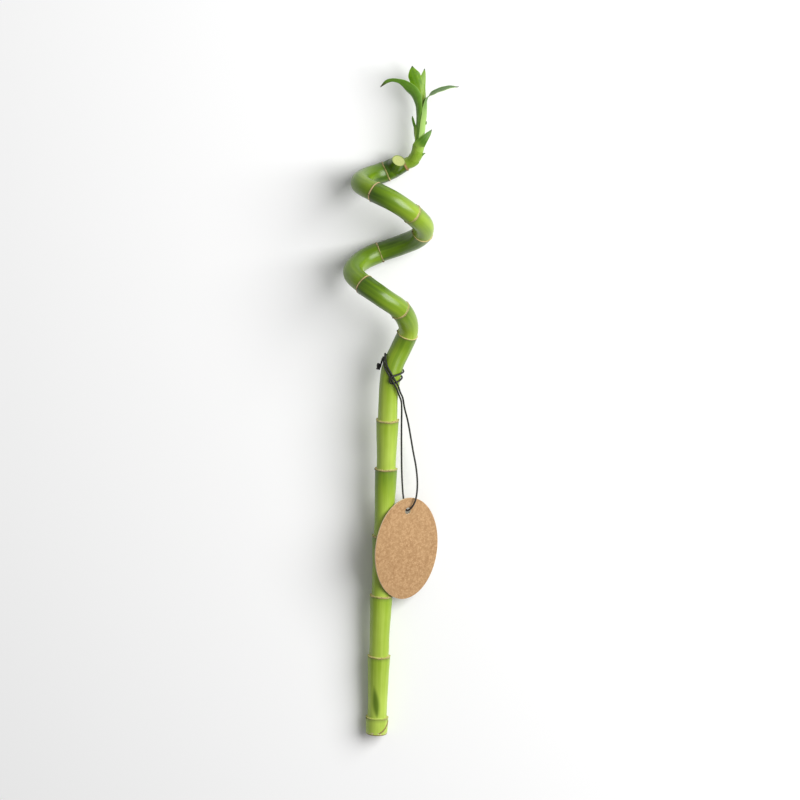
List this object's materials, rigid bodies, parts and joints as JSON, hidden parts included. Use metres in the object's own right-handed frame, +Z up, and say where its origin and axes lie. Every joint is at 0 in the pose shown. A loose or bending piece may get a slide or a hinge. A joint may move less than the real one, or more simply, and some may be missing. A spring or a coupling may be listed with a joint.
{
  "type": "lucky bamboo stalk",
  "caption": "Curly lucky bamboo stalk lying down: ringed green cane wound into a spiral, one leafy side shoot, and a blank oval card tag tied on with a thin black cord.",
  "frame": {"origin": "middle of the stalk's footprint, on the surface it lies on", "axes": "+Z up from the surface the stalk lies on; +Y along the stalk, from its cut base towards its leafy shoot; +X to the right of someone who looks down on it with the shoot pointing away from them"},
  "size_m": [0.0692, 0.4089, 0.0475],
  "materials": {
    "cane_skin": "glossy living cane skin",
    "young_stem": "satin living stem",
    "leaf": "satin living leaf",
    "card": "matt brown kraft card",
    "cord": "matt waxed cord"
  },
  "bodies": {
    "root": {"cane": "cane_skin", "shoot": "young_stem", "leaf_left": "leaf", "leaf_right": "leaf", "leaf_centre": "leaf", "leaf_inner": "leaf", "tag_cord": "cord", "cord_knot": "cord", "tag": "card"}
  },
  "joints": []
}
